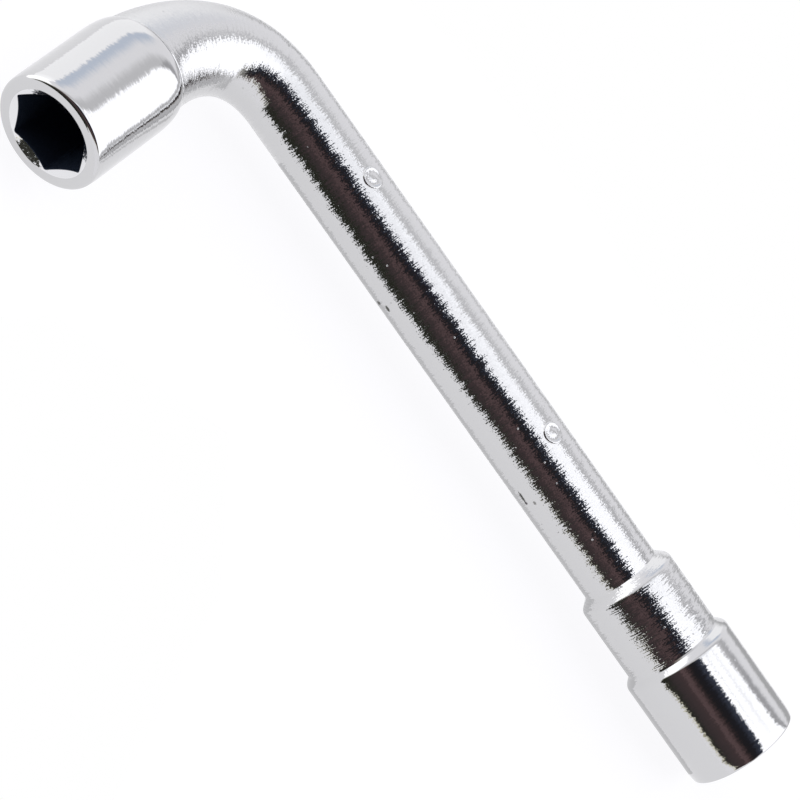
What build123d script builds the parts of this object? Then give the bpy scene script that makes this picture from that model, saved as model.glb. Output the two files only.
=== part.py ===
import os
from math import cos, pi, radians, tan

from build123d import *

# An elbow socket wrench: one bent bar with a socket on each end. Sizes are in millimetres.
# It lies flat: the long arm runs along +X, the short arm along -Y, and both axes are at one height.
# The origin is under the middle of the wrench, on the surface that it lies on.

nut_size = 18.0  # across the flats of the nuts and bolt heads that it turns
recess_play = 0.15  # how much wider than the nut a recess is
countersink_margin = 0.4  # how far the countersink reaches past the recess's corners
countersink_angle = 60.0  # of the cone's wall, from the axis
socket_wall = 3.12  # outside the countersink, at the mouth
mouth_edge = 0.8  # radius of the rounding round a mouth
long_reach = 211.0  # from where the two arms' axes cross to the long arm's mouth
short_reach = 59.8  # from the same crossing to the short arm's mouth

bar_diameter = 19.4
bend_end = 25.1  # from the crossing to where the long arm becomes straight
bend_start_pull = 7.0  # how far the bend's curve follows each arm before it turns away
bend_end_pull = 21.9
bend_stations = 10

short_socket_length = 30.4  # from the mouth to the seam with the bar
shoulder_length = 6.4
shoulder_drop = 1.7  # how much the shoulder narrows towards the seam, on the radius
seam_edge = 0.4  # the small slanted edge that the bar has at the seam
seam_edge_angle = 45.0
short_recess_depth = 14.0
short_recess_turn = 4.0  # degrees that its flats are turned about its axis

long_socket_length = 51.2  # from the mouth to where the bar enters
long_head_length = 29.6  # from the mouth to the foot of the head's step
long_neck_drop = 1.8  # how much narrower than the head the neck is, on the radius
step_angle = 45.0  # of both steps, from the axis
long_recess_depth = 18.0
long_recess_turn = 0.0

stud_bore_step = 0.675  # between a recess's flats and the bore behind them, for the end of a stud
spigot_step = 1.7  # between the bar and its spigots, on the radius
spigot_clearance = 0.02  # between a spigot and its bore, on the radius
short_spigot_length = 8.0
long_spigot_length = 14.0
spigot_edge = 0.6

mark_positions = (50.4, 121.9)  # of the round marks, from the crossing along the long arm
mark_diameter = 4.8
mark_height = 0.2
mark_dish_diameter = 3.4
mark_dish_depth = 0.25

recess_flat_radius = (nut_size + recess_play) / 2
recess_corner_radius = recess_flat_radius / cos(pi / 6)
countersink_radius = recess_corner_radius + countersink_margin
stud_bore_radius = recess_flat_radius - stud_bore_step
socket_radius = countersink_radius + socket_wall
seam_radius = socket_radius - shoulder_drop
heel_radius = seam_radius + seam_edge
long_neck_radius = socket_radius - long_neck_drop
bar_radius = bar_diameter / 2
spigot_radius = bar_radius - spigot_step
spigot_bore_radius = spigot_radius + spigot_clearance

crossing = Vector((socket_radius - long_reach) / 2, (short_reach - socket_radius) / 2, socket_radius)
long_way = Vector(1, 0, 0)
short_way = Vector(0, -1, 0)
long_mouth = crossing + long_way * long_reach
short_mouth = crossing + short_way * short_reach
seam = short_mouth - short_way * short_socket_length
bend_begin = seam - short_way * seam_edge
long_foot = long_mouth - long_way * long_socket_length
bend_finish = crossing + long_way * bend_end


def inner_profile(length, spigot_length):
    """The open run of a socket's inside, from its mouth to its far end, as (depth, radius) points."""
    cone_depth = (countersink_radius - stud_bore_radius) / tan(radians(countersink_angle))
    shelf = length - spigot_length
    return [
        (0, countersink_radius),
        (cone_depth, stud_bore_radius),
        (shelf, stud_bore_radius),
        (shelf, spigot_bore_radius),
        (length, spigot_bore_radius),
    ]


def recess_outline(mouth, way, turn):
    """The six-sided outline of a recess, on the plane of its mouth."""
    with BuildSketch(Plane(origin=mouth, x_dir=way.cross(Vector(0, 0, 1)), z_dir=way)) as outline:
        RegularPolygon(recess_corner_radius, 6, rotation=turn)
    return outline.sketch


# The bent bar: a curve from the socket's seam to the start of the straight shank, thinning as it goes.
with BuildLine() as bend:
    Bezier(
        bend_begin,
        bend_begin - short_way * bend_start_pull,
        bend_finish - long_way * bend_end_pull,
        bend_finish,
    )

with BuildPart() as bent_handle:
    for station in range(bend_stations + 1):
        share = station / bend_stations
        with BuildSketch(Plane(origin=bend.line @ share, x_dir=(0, 0, 1), z_dir=bend.line % share)):
            Circle(bar_radius + (heel_radius - bar_radius) * (1 - share) ** 2)
    loft()
    with BuildSketch(Plane(origin=bend_begin, x_dir=(0, 0, 1), z_dir=short_way)):
        Circle(heel_radius)
    extrude(amount=seam_edge, taper=seam_edge_angle)
    with BuildSketch(Plane(origin=bend_finish, x_dir=(0, 0, 1), z_dir=long_way)):
        Circle(bar_radius)
    extrude(amount=(long_foot - bend_finish).length)
    with BuildSketch(Plane(origin=long_foot, x_dir=(0, 0, 1), z_dir=long_way)):
        Circle(spigot_radius)
    extrude(amount=long_spigot_length)
    with BuildSketch(Plane(origin=seam, x_dir=(0, 0, 1), z_dir=short_way)):
        Circle(spigot_radius)
    extrude(amount=short_spigot_length)
    chamfer(bent_handle.faces().sort_by(Axis.Y)[0].edges(), spigot_edge)
    chamfer(bent_handle.faces().sort_by(Axis.X)[-1].edges(), spigot_edge)
    # Each round mark is a low button with a dished top.
    dish_radius = (mark_dish_diameter**2 / 4 + mark_dish_depth**2) / (2 * mark_dish_depth)
    mark_centres = [crossing + long_way * distance for distance in mark_positions]
    with BuildSketch(Plane.XY.offset(crossing.Z)):
        with Locations(mark_centres):
            Circle(mark_diameter / 2)
    extrude(amount=bar_radius + mark_height)
    dish_centre = Vector(0, 0, bar_radius + mark_height + dish_radius - mark_dish_depth)
    with Locations([centre + dish_centre for centre in mark_centres]):
        Sphere(dish_radius, mode=Mode.SUBTRACT)

# The short arm's socket has a rounded shoulder that runs down to the seam.
with BuildPart() as short_arm_socket:
    with BuildSketch(Plane(origin=short_mouth, x_dir=-short_way, z_dir=(0, 0, 1))):
        with BuildLine():
            inside = Polyline(inner_profile(short_socket_length, short_spigot_length))
            Line(inside @ 1, (short_socket_length, seam_radius))
            EllipticalCenterArc(
                (short_socket_length - shoulder_length, seam_radius),
                shoulder_length,
                shoulder_drop,
                arc_size=90,
            )
            Line((short_socket_length - shoulder_length, socket_radius), (mouth_edge, socket_radius))
            RadiusArc((mouth_edge, socket_radius), (0, socket_radius - mouth_edge), -mouth_edge)
            Line((0, socket_radius - mouth_edge), inside @ 0)
        make_face()
    revolve(axis=Axis(short_mouth, short_way))
    recess = recess_outline(short_mouth, short_way, short_recess_turn)
    extrude(recess, amount=-short_recess_depth, mode=Mode.SUBTRACT)

# The long arm's socket steps down twice, from the head to the neck and from the neck to the bar.
with BuildPart() as long_arm_socket:
    slope = tan(radians(step_angle))
    head_crest = long_head_length - (socket_radius - long_neck_radius) / slope
    neck_crest = long_socket_length - (long_neck_radius - bar_radius) / slope
    with BuildSketch(Plane(origin=long_mouth, x_dir=-long_way, z_dir=(0, 0, 1))):
        with BuildLine():
            inside = Polyline(inner_profile(long_socket_length, long_spigot_length))
            outside = Polyline(
                inside @ 1,
                (long_socket_length, bar_radius),
                (neck_crest, long_neck_radius),
                (long_head_length, long_neck_radius),
                (head_crest, socket_radius),
                (mouth_edge, socket_radius),
            )
            RadiusArc(outside @ 1, (0, socket_radius - mouth_edge), -mouth_edge)
            Line((0, socket_radius - mouth_edge), inside @ 0)
        make_face()
    revolve(axis=Axis(long_mouth, long_way))
    recess = recess_outline(long_mouth, long_way, long_recess_turn)
    extrude(recess, amount=-long_recess_depth, mode=Mode.SUBTRACT)

pieces = {
    "bent_handle": bent_handle,
    "short_arm_socket": short_arm_socket,
    "long_arm_socket": long_arm_socket,
}
os.makedirs("parts", exist_ok=True)
for name, piece in pieces.items():
    piece.part.label = name
    export_step(piece.part, f"parts/{name}.step")
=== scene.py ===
import math

import bmesh
import bpy
from mathutils import Matrix, Vector
from mathutils.geometry import interpolate_bezier


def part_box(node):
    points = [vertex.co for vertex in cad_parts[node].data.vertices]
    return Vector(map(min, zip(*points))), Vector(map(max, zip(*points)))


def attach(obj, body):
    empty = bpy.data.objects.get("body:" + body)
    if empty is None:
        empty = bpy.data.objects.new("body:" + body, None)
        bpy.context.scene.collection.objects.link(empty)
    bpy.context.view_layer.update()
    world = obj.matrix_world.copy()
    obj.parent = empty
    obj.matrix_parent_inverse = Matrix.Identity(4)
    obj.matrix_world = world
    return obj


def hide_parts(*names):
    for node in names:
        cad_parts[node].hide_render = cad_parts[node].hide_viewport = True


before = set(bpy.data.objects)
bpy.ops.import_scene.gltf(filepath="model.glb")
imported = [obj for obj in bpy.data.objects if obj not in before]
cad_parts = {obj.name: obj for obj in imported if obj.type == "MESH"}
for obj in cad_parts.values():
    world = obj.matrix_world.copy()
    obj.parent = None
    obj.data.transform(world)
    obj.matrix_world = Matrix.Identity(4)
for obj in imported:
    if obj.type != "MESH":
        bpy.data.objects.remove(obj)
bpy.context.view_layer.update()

# places that everything else is measured from, in metres
shortLow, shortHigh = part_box("short_arm_socket")
longLow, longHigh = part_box("long_arm_socket")
headRadius = (longHigh.z - longLow.z) / 2
crossing = Vector((  # of the two arms' axes
    (shortLow.x + shortHigh.x) / 2,
    (longLow.y + longHigh.y) / 2,
    headRadius,
))
shortMouth = Vector((crossing.x, shortLow.y, crossing.z))
seam = Vector((crossing.x, shortHigh.y, crossing.z))
longMouth = Vector((longHigh.x, crossing.y, crossing.z))
longFoot = Vector((longLow.x, crossing.y, crossing.z))
longWay = Vector((1, 0, 0))
shortWay = Vector((0, -1, 0))
print("frame loaded, arms cross at", tuple(round(v, 4) for v in crossing))


class Wire:
    # a node socket that can be used in sums, in shader and geometry trees alike
    def __init__(self, tree, socket=None):
        self.tree = tree
        self.socket = socket

    def add(self, kind, settings=None, inputs=None, output=0):
        node = self.tree.nodes.new(kind)
        for setting, value in (settings or {}).items():
            if setting == "stops":
                ramp = node.color_ramp
                while len(ramp.elements) < len(value):
                    ramp.elements.new(0.5)
                for element, (place, colour) in zip(ramp.elements, value):
                    element.position = place
                    element.color = (*colour, 1)
            else:
                setattr(node, setting, value)
        for key, value in (inputs or {}).items():
            entry = node.inputs[key]
            if isinstance(value, Wire):
                self.tree.links.new(value.socket, entry)
            elif entry.type == "RGBA":
                entry.default_value = (*value, 1)
            else:
                entry.default_value = value
        return Wire(self.tree, node.outputs[output] if node.outputs else None)

    def math(self, operation, *values):
        return self.add("ShaderNodeMath", {"operation": operation}, dict(enumerate(values)))

    def vector(self, operation, *values, output=0):
        return self.add("ShaderNodeVectorMath", {"operation": operation}, dict(enumerate(values)), output)

    def scaled(self, factor):
        return self.add("ShaderNodeVectorMath", {"operation": "SCALE"}, {0: self, "Scale": factor})

    def parts(self):
        split = self.add("ShaderNodeSeparateXYZ", inputs={0: self}).socket.node
        return [Wire(self.tree, output) for output in split.outputs]

    def noise(self, detail):
        # evenly spread round 0, from -1 to 1
        inputs = {"Vector": self, "Scale": 1.0, "Detail": detail}
        return self.add("ShaderNodeTexNoise", inputs=inputs) * 2 - 1

    def rises(self, low, high):
        # 0 below low, 1 above high, smooth between them
        reach = {"Value": self, "From Min": low, "From Max": high}
        return self.add("ShaderNodeMapRange", {"interpolation_type": "SMOOTHSTEP"}, reach)

    def falls(self, low, high):
        return 1 - self.rises(low, high)

    def mixed(self, first, second):
        # first where this value is 0, second where it is 1
        return self.add("ShaderNodeMix", {"data_type": "RGBA"}, {0: self, 6: first, 7: second}, output=2)

    def __add__(self, other):
        return self.math("ADD", self, other)

    __radd__ = __add__

    def __sub__(self, other):
        return self.math("SUBTRACT", self, other)

    def __rsub__(self, other):
        return self.math("SUBTRACT", other, self)

    def __neg__(self):
        return 0 - self

    def __mul__(self, other):
        return self.math("MULTIPLY", self, other)

    __rmul__ = __mul__

    def __truediv__(self, other):
        return self.math("DIVIDE", self, other)


def addObject(name, data):
    added = bpy.data.objects.new(name, data)
    bpy.context.scene.collection.objects.link(added)
    return added


def newMaterial(name):
    material = bpy.data.materials.new(name)
    material.use_nodes = True
    material.node_tree.nodes.clear()
    return material, Wire(material.node_tree)


viewpoint = {
    "aim": Vector((0.09418, -0.02332, 0)),  # from the crossing
    "distance": 0.69541,
    "azimuth": 13.18,
    "elevation": 50.306,
    "roll": 64.727,
    "lens": 138.96,
    "sensor": 36.0,
    "nearest": 0.01,  # what is nearer than this isn't seen
}


def placeCamera(viewpoint):
    azimuth, elevation, roll = (math.radians(viewpoint[key]) for key in ("azimuth", "elevation", "roll"))
    level = math.cos(elevation)
    forward = Vector((math.sin(azimuth) * level, math.cos(azimuth) * level, -math.sin(elevation)))
    right = Vector((math.cos(azimuth), -math.sin(azimuth), 0))
    up = right.cross(forward)
    across = right * math.cos(roll) + up * math.sin(roll)
    upward = up * math.cos(roll) - right * math.sin(roll)
    camera = addObject("camera", bpy.data.cameras.new("camera"))
    camera.data.lens = viewpoint["lens"]
    camera.data.sensor_width = viewpoint["sensor"]
    camera.data.clip_start = viewpoint["nearest"]
    turned = Matrix((across, upward, -forward)).transposed().to_4x4()
    stand = crossing + viewpoint["aim"] - forward * viewpoint["distance"]
    camera.matrix_world = Matrix.Translation(stand) @ turned
    bpy.context.scene.camera = camera


placeCamera(viewpoint)
bpy.context.scene.view_settings.view_transform = "Standard"
print("camera placed")


# Soft light comes from all round a small white table, and a dark opening is in front of it.
# A pair of numbers is where a change begins and where it is complete. Angles are in degrees.
walls = {
    "tone": (1.06, 1.055, 1.09),
    "lowTone": (0.55, 0.55, 0.56),  # of the low walls behind and to the right
    "lowTop": (-16, -2),  # above the table's height
    "lowRight": (0.12, 0.30),  # how far to the right they become higher
    "lowRightRise": 14,
    "lowFront": (-0.1, 0.1),
    "backdrop": (1.0, 1.0, 1.0),  # seen by the camera alone
}
opening = {
    "left": (38.0, 58.0),  # round from the front
    "right": (-95, -75),
    "top": (100, 110),  # over the front's horizon
    "front": (0.0, 0.1),  # nothing of it is behind the table's middle
    "footStart": 8,  # to the right of the front, where its lower edge leaves the horizon
    "footSlant": 0.65,  # how fast that edge rises towards the right
    "footLeft": (-13, -9),  # it has no lower edge to the left of this
    "footDrop": 30,
    "footEdge": (-1, 1),
    "fringe": (-6, -1),  # a pale strip under the lower edge
    "fringeTone": (0.80, 0.77, 0.60),
    "tones": (  # from the front's horizon over the top, as shares of a half turn
        (0.0, (0.026, 0.028, 0.020)),
        (0.05, (0.034, 0.032, 0.028)),
        (0.085, (0.052, 0.041, 0.042)),
        (0.15, (0.066, 0.048, 0.050)),
        (0.19, (0.074, 0.050, 0.052)),
        (0.215, (0.135, 0.090, 0.093)),
        (0.245, (0.120, 0.078, 0.080)),
        (0.28, (0.052, 0.036, 0.037)),
        (0.31, (0.020, 0.018, 0.020)),
        (0.37, (0.018, 0.018, 0.023)),
        (0.44, (0.050, 0.058, 0.085)),
    ),
}
leftPanel = {
    "tone": (1.30, 1.30, 1.32),
    "frontTone": (1.75, 1.75, 1.77),  # of its end beside the opening
    "frontEnd": (110, 124),
    "backEnd": (150, 170),
    "top": 18.5,  # above the table
    "topEdge": (-2.5, 2.5),
}
streak = {
    "tone": (0.72, 0.79, 0.92),
    "frontEnd": (112, 124),
    "bottom": (-2, 4),  # over the left panel's top
    "top": (8, 24),
}
# a lit cloth on a ceiling one unit up, with places measured from the table's middle
softbox = {
    "tone": (1.66, 1.67, 1.73),
    "fadedTone": (1.22, 1.24, 1.30),  # its light falls off towards its left end
    "fade": (-0.06, 0.32),
    "ribs": {"scale": (5, 17), "detail": 1.0, "strength": 0.75},  # how uneven its left end is
    "ribEnd": (0.2, 0.45),
    "weave": {"scale": (9, 45), "detail": 2.0, "strength": 0.16},  # finer, all over it
    "near": (-0.15, -0.11),
    "far": 0.406,
    "farEdge": (-0.03, 0.03),
    "slant": 1.4,  # how fast its far edge recedes towards the right
    "shadeTone": (0.75, 0.75, 0.77),  # of the ceiling beyond it
    "shadeToneRight": (0.50, 0.50, 0.52),
    "shadeTurn": (0.25, 0.45),
    "shadeStart": (0, 0.15),
    "shadeEnd": (0.3, 0.95),
    "lowest": (4, 7),  # the ceiling ends this far above the table
    "leastHeight": 0.05,  # keeps places on the ceiling from running off to infinity
}


def lightStudio():
    world = bpy.data.worlds.new("studio")
    world.use_nodes = True
    world.node_tree.nodes.clear()
    bpy.context.scene.world = world
    sky = Wire(world.node_tree)
    x, y, z = sky.add("ShaderNodeTexCoord", output="Generated").parts()
    degrees = 180 / math.pi
    rise = sky.math("ARCSINE", z) * degrees
    overFront = sky.math("ARCTAN2", z, -y) * degrees  # 0 at the front's horizon, 90 straight up
    fromFront = sky.math("ARCTAN2", -x, -y) * degrees  # 90 at the left, -90 at the right

    foot = (-fromFront - opening["footStart"]) * opening["footSlant"]
    overFoot = overFront - (foot - fromFront.rises(*opening["footLeft"]) * opening["footDrop"])
    inOpening = overFront.falls(*opening["top"]) * fromFront.falls(*opening["left"])
    inOpening = inOpening * fromFront.rises(*opening["right"]) * (-y).rises(*opening["front"])
    fringe = inOpening * overFoot.rises(*opening["fringe"])
    dark = inOpening * overFoot.rises(*opening["footEdge"])
    darkTone = sky.add("ShaderNodeValToRGB", {"stops": opening["tones"]}, {0: overFront / 180})

    left = fromFront.rises(*opening["left"]) * fromFront.falls(*leftPanel["backEnd"])
    overPanel = rise - leftPanel["top"]
    panel = left * overPanel.falls(*leftPanel["topEdge"])
    panelTone = fromFront.rises(*leftPanel["frontEnd"]).mixed(leftPanel["frontTone"], leftPanel["tone"])
    streaked = left * fromFront.rises(*streak["frontEnd"])
    streaked = streaked * overPanel.rises(*streak["bottom"]) * overPanel.falls(*streak["top"])

    height = sky.math("MAXIMUM", z, softbox["leastHeight"])
    across = x / height
    back = y / height

    def cloth(grain):
        place = {0: across * grain["scale"][0], 1: back * grain["scale"][1]}
        return sky.add("ShaderNodeCombineXYZ", inputs=place).noise(grain["detail"]) * grain["strength"]

    beyond = back - across * softbox["slant"] - softbox["far"]
    above = rise.rises(*softbox["lowest"])
    lit = beyond.falls(*softbox["farEdge"]) * above * back.rises(*softbox["near"])
    litTone = across.rises(*softbox["fade"]).mixed(softbox["fadedTone"], softbox["tone"])
    litTone = litTone.scaled(1 + cloth(softbox["ribs"]) * across.falls(*softbox["ribEnd"]))
    litTone = litTone.scaled(1 + cloth(softbox["weave"]))
    shade = beyond.rises(*softbox["shadeStart"]) * beyond.falls(*softbox["shadeEnd"]) * above
    shadeTone = across.rises(*softbox["shadeTurn"]).mixed(softbox["shadeTone"], softbox["shadeToneRight"])

    overLow = rise - x.rises(*walls["lowRight"]) * walls["lowRightRise"]
    low = overLow.falls(*walls["lowTop"]) * y.rises(*walls["lowFront"])
    tone = low.mixed(walls["tone"], walls["lowTone"])
    layers = (
        (shade, shadeTone),
        (panel, panelTone),
        (streaked, streak["tone"]),
        (fringe, opening["fringeTone"]),
        (dark, darkTone),
        (lit, litTone),
        (sky.add("ShaderNodeLightPath", output="Is Camera Ray"), walls["backdrop"]),
    )
    for share, over in layers:
        tone = share.mixed(tone, over)
    light = sky.add("ShaderNodeBackground", inputs={"Color": tone})
    sky.add("ShaderNodeOutputWorld", inputs={"Surface": light})


# a painted contact shadow: a dark glowing sheet on the table beside the wrench stands in for the shade
# there, and is seen only in the wrench's own mirror
paintedContactShadow = {
    "tone": (0.70, 0.70, 0.715),
    "height": 0.0001,
    "outlines": (
        ((-0.114, -0.034), (-0.114, 0.010), (-0.104, 0.022), (-0.090, 0.022),
         (-0.104, 0.006), (-0.104, -0.034)),  # along the short arm
        ((-0.062, 0.0115), (0.062, 0.0115), (0.062, 0.0105), (0.083, 0.0105), (0.083, 0.0088),
         (0.112, 0.0088), (0.112, 0.017), (0.080, 0.019), (-0.062, 0.019)),  # along the long arm
    ),
}
table = {
    "tone": (0.15, 0.15, 0.148),
    "roughness": 0.9,
    "glow": 0.90,
    "glowTone": (1, 0.998, 1.02),
    "reach": {"left": 0.165, "right": 0.30, "back": 0.095},
    "steps": 48,  # round its back
    "front": ((0.20, -0.25), (0.055, -0.25), (0.045, -0.19), (0.004, -0.062), (-0.022, -0.034),
              (-0.066, -0.053), (-0.085, -0.085), (-0.14, -0.09)),  # corners of its front edge
}


def flatSheet(name, outlines, height, material):
    mesh = bmesh.new()
    for places in outlines:
        mesh.faces.new([mesh.verts.new((x, y, height)) for x, y in places])
    data = bpy.data.meshes.new(name)
    mesh.to_mesh(data)
    mesh.free()
    data.materials.append(material)
    return addObject(name, data)


def paintContactShadow(size):
    material, root = newMaterial("contactShade")
    # a fixed dark glow: the painted shadow, seen only in reflections
    glow = root.add("ShaderNodeEmission", inputs={"Color": size["tone"]})
    root.add("ShaderNodeOutputMaterial", inputs={"Surface": glow})
    sheet = flatSheet("paintedContactShadow", size["outlines"], size["height"], material)
    sheet.visible_camera = sheet.visible_diffuse = sheet.visible_shadow = False


def layTable(size):
    reach = size["reach"]
    outline = [(-reach["left"], 0.0)]
    for step in range(1, size["steps"]):
        angle = math.pi * (1 - step / size["steps"])
        side = reach["right"] if math.cos(angle) > 0 else reach["left"]
        outline.append((side * math.cos(angle), reach["back"] * math.sin(angle)))
    outline += [(reach["right"], 0.0), *size["front"]]
    material, root = newMaterial("tablePaint")
    shader = root.add("ShaderNodeBsdfPrincipled", inputs={
        "Base Color": size["tone"],
        "Roughness": size["roughness"],
        "Specular IOR Level": 0.0,
        "Emission Color": size["glowTone"],
        "Emission Strength": size["glow"],
    })
    root.add("ShaderNodeOutputMaterial", inputs={"Surface": shader})
    sheet = flatSheet("table", [outline[::-1]], 0.0, material)


lightStudio()
paintContactShadow(paintedContactShadow)
layTable(table)
print("studio lit")


def chrome(name, look):
    material, root = newMaterial(name)
    spot = root.add("ShaderNodeAttribute", {"attribute_name": "straightSpot"}, output="Vector")
    axis = root.add("ShaderNodeAttribute", {"attribute_name": "axisWay"}, output="Vector")
    place = root.add("ShaderNodeTexCoord", output="Object")
    facing = root.add("ShaderNodeNewGeometry", output="Normal")
    roundWay = axis.vector("CROSS_PRODUCT", axis, facing)

    def ripples(kind):
        return spot.vector("MULTIPLY", spot, look[kind + "Scale"]).noise(look[kind + "Detail"])

    # polishing lines run round the bar, and each tilts the surface its own way
    lines = ripples("line")
    grain = ripples("grain")
    tilt = lines * look["lineTilt"] + grain * look["grainTilt"] + ripples("swell") * look["swellTilt"]
    lean = ripples("wander") * look["wanderTilt"]
    leaned = facing.vector("ADD", facing, roundWay.scaled(tilt))
    leaned = leaned.vector("ADD", leaned, axis.scaled(lean))
    leaned = leaned.vector("NORMALIZE", leaned)
    # a few specks stand out of the plating
    cells = root.add("ShaderNodeTexVoronoi", inputs={"Vector": spot, "Scale": look["speckScale"]})
    chance = Wire(root.tree, cells.socket.node.outputs["Color"]).parts()[0]
    chosen = chance.rises(1 - look["speckShare"], 1 - look["speckShare"] + look["speckSpread"])
    height = cells.falls(*look["speckEdge"]) * chosen
    tone = look["tone"]
    rough = look["roughness"] + lines * look["roughChange"]
    if "softRun" in look:
        # the bend's outer side is polished less than the rest
        outer = facing.vector("DOT_PRODUCT", facing, look["softSide"], output="Value")
        soft = spot.parts()[0].falls(*look["softRun"]) * outer.rises(*look["softEdge"])
        rough = rough + soft * look["softRoughness"]
    for nick in look["nicks"]:
        away = place.vector("SUBTRACT", place, nick["at"])
        away = away.vector("DIVIDE", away, nick["reach"])
        away = away.vector("LENGTH", away, output="Value")
        chip = (away + grain * nick["raggedness"]).falls(*look["nickEdge"])
        tone = chip.mixed(tone, nick["tone"])
        rough = rough + chip * look["nickRoughness"]
        height = height - chip
    normal = root.add("ShaderNodeBump", inputs={
        "Height": height,
        "Strength": look["reliefStrength"],
        "Distance": look["reliefDepth"],
        "Normal": leaned,
    })
    shader = root.add("ShaderNodeBsdfPrincipled", inputs={
        "Base Color": tone,
        "Metallic": look["metal"],
        "Roughness": root.math("MAXIMUM", rough, look["leastRoughness"]),
        "Normal": normal,
    })
    root.add("ShaderNodeOutputMaterial", inputs={"Surface": shader})
    return material


# Scales are per metre along the axis and in the two directions across it.
# A tilt is how far the ripples lean the surface, as a slope.
shankLook = {
    "tone": (0.62, 0.62, 0.625),
    "metal": 1.0,
    "roughness": 0.10,
    "roughChange": 0.05,
    "leastRoughness": 0.03,
    "lineScale": (3300.0, 190.0, 190.0),
    "lineDetail": 3.0,
    "lineTilt": 0.22,
    "grainScale": (3600.0, 2900.0, 2900.0),
    "grainDetail": 1.0,
    "grainTilt": 0.23,
    "swellScale": (110.0, 60.0, 60.0),
    "swellDetail": 1.0,
    "swellTilt": 0.012,
    "wanderScale": (3000.0, 3000.0, 3000.0),
    "wanderDetail": 1.0,
    "wanderTilt": 0.04,  # along the axis, where the others tilt round it
    "speckScale": 900.0,
    "speckShare": 0.03,  # of the cells have a speck
    "speckSpread": 0.005,  # a few of those cells have a weaker one
    "speckEdge": (0.10, 0.22),
    "reliefStrength": 0.8,
    "reliefDepth": 0.00012,
    "nicks": (),
    "nickEdge": (0.6, 1.0),  # shares of its reach
    "nickRoughness": 0.3,
}
barLook = dict(
    shankLook,
    softRun=(0.014, 0.036),  # from the seam
    softSide=(-0.7, 0.7, 0.0),  # the way that the bend's outer side faces
    softEdge=(-0.1, 0.35),
    softRoughness=0.26,
    nicks=(
        {"at": (-0.0217, 0.0133, 0.0125), "reach": (0.0010, 0.0006, 0.0006), "raggedness": 0.5,
         "tone": (0.10, 0.10, 0.09)},
        {"at": (-0.0236, 0.0139, 0.0104), "reach": (0.0006, 0.0006, 0.0012), "raggedness": 0.5,
         "tone": (0.12, 0.12, 0.11)},
        {"at": (0.0319, 0.0133, 0.0127), "reach": (0.0016, 0.0005, 0.0005), "raggedness": 0.9,
         "tone": (0.08, 0.08, 0.07)},
        {"at": (0.0337, 0.0133, 0.0127), "reach": (0.0005, 0.0005, 0.0005), "raggedness": 0.6,
         "tone": (0.12, 0.11, 0.12)},
        {"at": (0.0344, 0.0133, 0.0152), "reach": (0.0005, 0.0005, 0.0004), "raggedness": 0.8,
         "tone": (0.30, 0.30, 0.29)},
    ),
)
headLook = dict(
    shankLook,
    roughness=0.06,
    roughChange=0.03,
    lineTilt=0.07,
    grainTilt=0.07,
    swellTilt=0.008,
    wanderTilt=0.02,
    speckShare=0.006,
)
shortLook = dict(headLook, lineTilt=0.08, grainTilt=0.03, wanderTilt=0.01)
neckLook = dict(shankLook, lineTilt=0.37, grainTilt=0.24)
mouthLook = dict(
    shankLook,
    tone=(0.78, 0.78, 0.79),
    lineTilt=0.05,
    grainTilt=0.10,
    wanderScale=(1500.0, 1500.0, 1500.0),
    wanderTilt=0.30,
)
markLook = dict(
    shankLook,
    lineTilt=0.05,
    grainTilt=0.30,
    wanderTilt=0.15,
    speckScale=1500.0,
    speckShare=0.15,
)
# painted shade: the recess's dark navy tone stands in for the shade inside the sockets' recesses
recessLookWithPaintedShade = dict(
    shankLook,
    tone=(0.035, 0.050, 0.085),
    metal=0.6,
    roughness=0.42,
    lineTilt=0.05,
    wanderTilt=0.2,
)

barChrome = chrome("barChrome", barLook)
headChrome = chrome("headChrome", headLook)
shortChrome = chrome("shortChrome", shortLook)
neckChrome = chrome("neckChrome", neckLook)
mouthChrome = chrome("mouthChrome", mouthLook)
markChrome = chrome("markChrome", markLook)
paintedShadeRecess = chrome("paintedShadeRecess", recessLookWithPaintedShade)


mergeReach = 1e-7  # points nearer to each other than this become one


def crease(mesh, angle):
    # edges that turn further than this stay sharp
    bmesh.ops.recalc_face_normals(mesh, faces=mesh.faces)
    for edge in mesh.edges:
        edge.smooth = edge.calc_face_angle(0) < math.radians(angle)


def finishPiece(name, mesh, materials, creaseAngle):
    bmesh.ops.remove_doubles(mesh, verts=mesh.verts, dist=mergeReach)
    crease(mesh, creaseAngle)
    data = bpy.data.meshes.new(name)
    mesh.to_mesh(data)
    mesh.free()
    for material in materials:
        data.materials.append(material)
    return addObject(name, data)


def storeSpots(piece, origin, way, grainStart):
    # each point's place on its own axis, for the polishing lines
    side = Vector((0, 0, 1)).cross(way)
    spots = piece.data.attributes.new("straightSpot", "FLOAT_VECTOR", "POINT")
    ways = piece.data.attributes.new("axisWay", "FLOAT_VECTOR", "POINT")
    for point in piece.data.vertices:
        away = point.co - origin
        spots.data[point.index].vector = (grainStart + away.dot(way), away.dot(side), away.z)
        ways.data[point.index].vector = way


def arc(centre, radius, startAngle, endAngle, steps):
    # (depth, radius) points of a round or oval arc, with angles in degrees from the depth axis
    points = []
    for step in range(steps + 1):
        angle = math.radians(startAngle + (endAngle - startAngle) * step / steps)
        points.append((centre[0] + radius[0] * math.cos(angle), centre[1] + radius[1] * math.sin(angle)))
    return points


recess = {
    "flatRadius": 0.009075,
    "cornerEdge": 0.00015,  # how much its rounded corners fall short of sharp ones
    "countersinkRadius": 0.01088,
    "countersinkAngle": 60.0,  # from the axis
    "boreRadius": 0.0084,
    "lipHeight": 0.0002,  # a steep edge between the countersink and the recess
    "lipWidth": 0.00008,
    "rimEdge": 0.0001,  # a slanted edge between the countersink and the face
    "edgeSteps": 9,
    "crownStations": (0.0012, 0.0016, 0.0020, 0.0024, 0.0027),
    "crownLength": 0.0030,  # the outside falls away a little towards the mouth
    "crownDrop": 0.0003,
}


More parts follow.
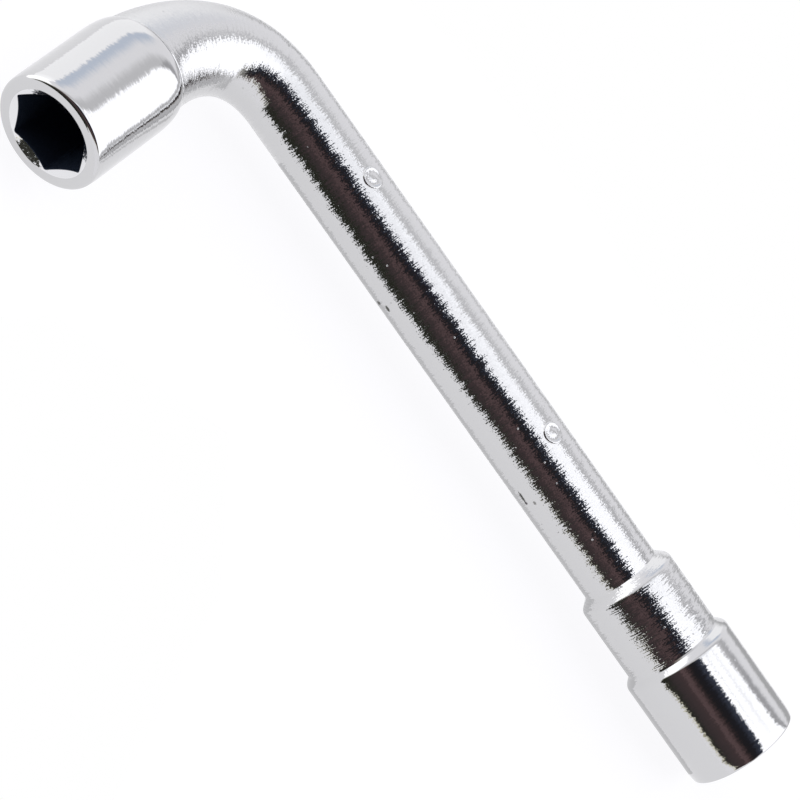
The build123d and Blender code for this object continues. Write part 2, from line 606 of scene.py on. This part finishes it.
def hexRadius(angle, turn):
    # distance from the axis to the six-sided recess's wall
    fromFlat = (math.degrees(angle) - turn) % 60 - 30
    sharp = recess["flatRadius"] / math.cos(math.radians(fromFlat))
    corner = recess["flatRadius"] / math.cos(math.pi / 6)
    return min(sharp, corner - recess["cornerEdge"])


def mouthOutline(angle, size):
    # (depth, radius) points from the bore's floor out to the face's rounded edge and the outside
    # a run of points has one finish, which holds up to the next run's first point
    wall = hexRadius(angle, size["recessTurn"])
    slope = math.tan(math.radians(recess["countersinkAngle"]))
    lip = wall + recess["lipWidth"]
    crest = (recess["countersinkRadius"] - lip) / slope
    edge = size["mouthEdge"]

    def crowned(depth):
        return headRadius - recess["crownDrop"] * (1 - depth / recess["crownLength"]) ** 2

    inside = [
        (size["boreDepth"], 0.0),
        (size["boreDepth"], recess["boreRadius"]),
        (size["recessDepth"], recess["boreRadius"]),
        (size["recessDepth"], wall),
        (crest + recess["lipHeight"], wall),
    ]
    outside = [
        (recess["rimEdge"], recess["countersinkRadius"] - recess["rimEdge"]),
        (0.0, recess["countersinkRadius"] + recess["rimEdge"]),
        *arc((edge, crowned(edge) - edge), (edge, edge), 180, 90, recess["edgeSteps"]),
        *[(depth, crowned(depth)) for depth in recess["crownStations"]],
        (recess["crownLength"], headRadius),
    ]
    return [("recess", inside), ("countersink", [(crest, lip)]), ("outside", outside)]


def turnSocket(name, size, mouth, way, back, finishes):
    # the outline, from the mouth's runs on through those of back, is carried round the axis
    # way points out of the mouth, and depths run back from there
    mesh = bmesh.new()
    up = Vector((0, 0, 1))
    side = up.cross(way)
    rings = []
    for column in range(size["columns"]):
        angle = 2 * math.pi * column / size["columns"]
        ring = []
        for finish, points in (*mouthOutline(angle, size), *back):
            for depth, radius in points:
                across, height = radius * math.cos(angle), radius * math.sin(angle)
                vertex = mesh.verts.new(mouth - way * depth + side * across + up * height)
                ring.append((finish, vertex))
        rings.append(ring)
    slots = list(finishes)
    for here, there in zip(rings, [*rings[1:], rings[0]]):
        for row in range(len(here) - 1):
            corners = (here[row], there[row], there[row + 1], here[row + 1])
            face = mesh.faces.new([vertex for _, vertex in corners])
            face.material_index = slots.index(here[row][0])
            face.smooth = True
    piece = finishPiece(name, mesh, finishes.values(), size["creaseAngle"])
    storeSpots(piece, mouth, way, size["grainStart"])
    return piece


shortSocket = {
    "length": shortHigh.y - shortLow.y,
    "recessDepth": 0.014,
    "recessTurn": 4.0,
    "boreDepth": 0.0224,
    "mouthEdge": 0.0011,
    "shoulderLength": 0.0064,
    "shoulderDrop": 0.00142,
    "shoulderSteps": 24,
    "columns": 240,
    "creaseAngle": 18.0,
    "grainStart": 0.0,
}


def makeShortSocket(size):
    length, reach, drop = size["length"], size["shoulderLength"], size["shoulderDrop"]
    shoulder = arc((length - reach, headRadius - drop), (reach, drop), 90, 0, size["shoulderSteps"])
    back = [("outside", [*shoulder, (length, 0.0)])]
    finishes = {"outside": shortChrome, "recess": paintedShadeRecess, "countersink": mouthChrome}
    piece = turnSocket("shortArmSocket", size, shortMouth, shortWay, back, finishes)
    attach(piece, "root")
    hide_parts("short_arm_socket")


longSocket = {
    "length": longHigh.x - longLow.x,
    "headLength": 0.0296,
    "neckDrop": 0.0018,
    "barRadius": 0.0097,
    "recessDepth": 0.018,
    "recessTurn": 0.0,
    "boreDepth": 0.0372,
    "mouthEdge": 0.0007,
    "stepAngle": 45.0,  # from the axis
    "stepEdge": 0.0007,  # how far the rounding of a step's crest reaches
    "stepEdgeSteps": 5,
    "stepFoot": 0.0002,
    "columns": 240,
    "creaseAngle": 18.0,
    "grainStart": 0.3,
}


def makeLongSocket(size):
    length, headLength, barRadius = size["length"], size["headLength"], size["barRadius"]
    neckRadius = headRadius - size["neckDrop"]
    foot, stepAngle = size["stepFoot"], size["stepAngle"]
    slope = math.tan(math.radians(stepAngle))

    def crest(depth, radius):
        # a rounded edge between a straight run and a step
        curve = size["stepEdge"] / math.tan(math.radians(stepAngle / 2))
        start = depth - size["stepEdge"]
        return arc((start, radius - curve), (curve, curve), 90, 90 - stepAngle, size["stepEdgeSteps"])

    head = [
        *crest(headLength - (headRadius - neckRadius) / slope, headRadius),
        (headLength - foot, neckRadius + foot * slope),
    ]
    neck = [
        (headLength + foot, neckRadius),
        *crest(length - (neckRadius - barRadius) / slope, neckRadius),
        (length - foot, barRadius + foot * slope),
    ]
    back = [("outside", head), ("neck", neck), ("outside", [(length, barRadius), (length, 0.0)])]
    finishes = {
        "outside": headChrome,
        "recess": paintedShadeRecess,
        "countersink": mouthChrome,
        "neck": neckChrome,
    }
    piece = turnSocket("longArmSocket", size, longMouth, longWay, back, finishes)
    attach(piece, "root")
    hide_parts("long_arm_socket")


makeShortSocket(shortSocket)
makeLongSocket(longSocket)
print("sockets turned")


bar = {
    "radius": 0.0097,
    "heelRadius": 0.0127,
    "seamEdge": 0.00015,
    "seamRun": 0.0004,  # from the seam to where the bend begins
    "bendEnd": 0.0251,  # from the crossing
    "startPull": 0.007,
    "endPull": 0.0219,
    "measurePoints": 400,  # along the bend, to find its length
    "columns": 160,
    "resolution": 72,
    "creaseAngle": 30.0,
}


def barPath(size):
    start = seam - shortWay * size["seamRun"]
    finish = crossing + longWay * size["bendEnd"]
    startPull = start - shortWay * size["startPull"]
    endPull = finish - longWay * size["endPull"]
    halfway = (seam + start) / 2
    third = (longFoot - finish) / 3
    stops = (  # each with its handles before and after it
        (seam, seam, halfway),
        (start, halfway, startPull),
        (finish, endPull, finish + third),
        (longFoot, longFoot - third, longFoot),
    )
    path = bpy.data.curves.new("barPath", "CURVE")
    path.dimensions = "3D"
    path.resolution_u = size["resolution"]
    spline = path.splines.new("BEZIER")
    spline.bezier_points.add(len(stops) - 1)
    for point, (place, before, after) in zip(spline.bezier_points, stops):
        point.handle_left_type = point.handle_right_type = "FREE"
        point.co, point.handle_left, point.handle_right = place, before, after
    bend = interpolate_bezier(start, startPull, endPull, finish, size["measurePoints"])
    bendLength = sum((b - a).length for a, b in zip(bend, bend[1:]))
    return path, bendLength


def sweepTree():
    tree = bpy.data.node_groups.new("sweptBar", "GeometryNodeTree")
    tree.interface.new_socket("Path", in_out="INPUT", socket_type="NodeSocketGeometry")
    for name in ("Bar Radius", "Heel Radius", "Seam Edge", "Seam Run", "Bend Length"):
        tree.interface.new_socket(name, in_out="INPUT", socket_type="NodeSocketFloat")
    tree.interface.new_socket("Columns", in_out="INPUT", socket_type="NodeSocketInt")
    tree.interface.new_socket("Finish", in_out="INPUT", socket_type="NodeSocketMaterial")
    tree.interface.new_socket("Mesh", in_out="OUTPUT", socket_type="NodeSocketGeometry")
    root = Wire(tree)
    given = {output.name: Wire(tree, output) for output in root.add("NodeGroupInput").socket.node.outputs}
    # the bar thins from the heel's radius to its own along the bend
    along = root.add("GeometryNodeSplineParameter", output="Length")
    share = root.math("MINIMUM", (along - given["Seam Run"]) / given["Bend Length"], 1.0)
    left = 1 - root.math("MAXIMUM", share, 0.0)
    radius = given["Bar Radius"] + (given["Heel Radius"] - given["Bar Radius"]) * left * left
    # a rounded edge at the seam
    short = root.math("MAXIMUM", given["Seam Edge"] - along, 0.0) / given["Seam Edge"]
    radius = radius - given["Seam Edge"] * (1 - root.math("SQRT", 1 - short * short))
    sized = root.add("GeometryNodeResampleCurve", {"mode": "EVALUATED"}, {"Curve": given["Path"]})
    tangent = root.add("GeometryNodeInputTangent")
    ring = {"Resolution": given["Columns"], "Radius": 1.0}
    ring = root.add("GeometryNodeCurvePrimitiveCircle", inputs=ring)

    def keep(geometry, value, kind):
        capture = tree.nodes.new("GeometryNodeCaptureAttribute")
        capture.capture_items.new(kind, "Value")
        tree.links.new(geometry.socket, capture.inputs[0])
        tree.links.new(value.socket, capture.inputs[1])
        return Wire(tree, capture.outputs[0]), Wire(tree, capture.outputs[1])

    sized, keptAlong = keep(sized, along, "FLOAT")
    sized, keptRadius = keep(sized, radius, "FLOAT")
    sized, keptTangent = keep(sized, tangent, "VECTOR")
    ring, keptRound = keep(ring, root.add("GeometryNodeInputPosition"), "VECTOR")
    swept = root.add("GeometryNodeCurveToMesh", inputs={
        "Curve": sized,
        "Profile Curve": ring,
        "Scale": keptRadius,
        "Fill Caps": True,
    })
    roundX, roundY, _ = keptRound.scaled(keptRadius).parts()
    spot = root.add("ShaderNodeCombineXYZ", inputs={0: keptAlong, 1: roundX, 2: roundY})
    for name, value in (("straightSpot", spot), ("axisWay", keptTangent)):
        settings = {"data_type": "FLOAT_VECTOR", "domain": "POINT"}
        inputs = {"Geometry": swept, "Name": name, "Value": value}
        swept = root.add("GeometryNodeStoreNamedAttribute", settings, inputs)
    swept = root.add("GeometryNodeSetShadeSmooth", inputs={0: swept, "Shade Smooth": True})
    swept = root.add("GeometryNodeRealizeInstances", inputs={0: swept})
    swept = root.add("GeometryNodeSetMaterial", inputs={0: swept, "Material": given["Finish"]})
    root.add("NodeGroupOutput", inputs={0: swept})
    return tree


def makeBar(size):
    path, bendLength = barPath(size)
    source = addObject("barPath", path)
    sweep = source.modifiers.new("sweep", "NODES")
    sweep.node_group = sweepTree()
    values = {
        "Bar Radius": size["radius"],
        "Heel Radius": size["heelRadius"],
        "Seam Edge": size["seamEdge"],
        "Seam Run": size["seamRun"],
        "Bend Length": bendLength,
        "Columns": size["columns"],
        "Finish": barChrome,
    }
    for item in sweep.node_group.interface.items_tree:
        if item.in_out == "INPUT" and item.name in values:
            sweep[item.identifier] = values[item.name]
    graph = bpy.context.evaluated_depsgraph_get()
    data = bpy.data.meshes.new_from_object(source.evaluated_get(graph))
    bpy.data.objects.remove(source)
    data.name = "bentHandle"
    mesh = bmesh.new()
    mesh.from_mesh(data)
    crease(mesh, size["creaseAngle"])
    mesh.to_mesh(data)
    mesh.free()
    piece = addObject("bentHandle", data)
    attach(piece, "root")
    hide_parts("bent_handle")


makeBar(bar)
print("bar swept")


roundMark = {
    "distances": (0.0504, 0.1219),  # from the crossing along the long arm
    "profile": (  # radius, and height over the bar's top
        (0.00275, -0.00020), (0.00268, 0.00006), (0.00256, 0.00020), (0.00240, 0.00026),
        (0.00222, 0.00024), (0.00202, 0.00012), (0.00184, 0.00004), (0.00120, 0.00003),
        (0.00094, 0.00007), (0.00070, 0.00014), (0.00045, 0.00016),
    ),
    "depth": 0.0006,  # how far its foot goes into the bar
    "columns": 64,
    "creaseAngle": 60.0,
    "grainStart": 0.015,
}


def makeRoundMark(name, size, distance):
    # a low button with a dished top, on the top of the bar
    centre = crossing + longWay * distance
    mesh = bmesh.new()
    rings = []
    for radius, height in ((size["profile"][0][0], -size["depth"]), *size["profile"]):
        ring = []
        for column in range(size["columns"]):
            angle = 2 * math.pi * column / size["columns"]
            x, y = radius * math.cos(angle), radius * math.sin(angle)
            top = math.sqrt(bar["radius"] ** 2 - y * y)
            ring.append(mesh.verts.new(centre + Vector((x, y, top + height))))
        rings.append(ring)
    peak = mesh.verts.new(centre + Vector((0, 0, bar["radius"] + size["profile"][-1][1])))
    for column in range(size["columns"]):
        after = (column + 1) % size["columns"]
        for lower, upper in zip(rings, rings[1:]):
            mesh.faces.new((lower[column], lower[after], upper[after], upper[column]))
        mesh.faces.new((rings[-1][column], rings[-1][after], peak))
    mesh.faces.new(reversed(rings[0]))
    for face in mesh.faces:
        face.smooth = True
    piece = finishPiece(name, mesh, [markChrome], size["creaseAngle"])
    storeSpots(piece, crossing, longWay, size["grainStart"])
    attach(piece, "root")
    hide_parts("bent_handle")


for name, distance in zip(("firstRoundMark", "secondRoundMark"), roundMark["distances"]):
    makeRoundMark(name, roundMark, distance)
print("marks raised")
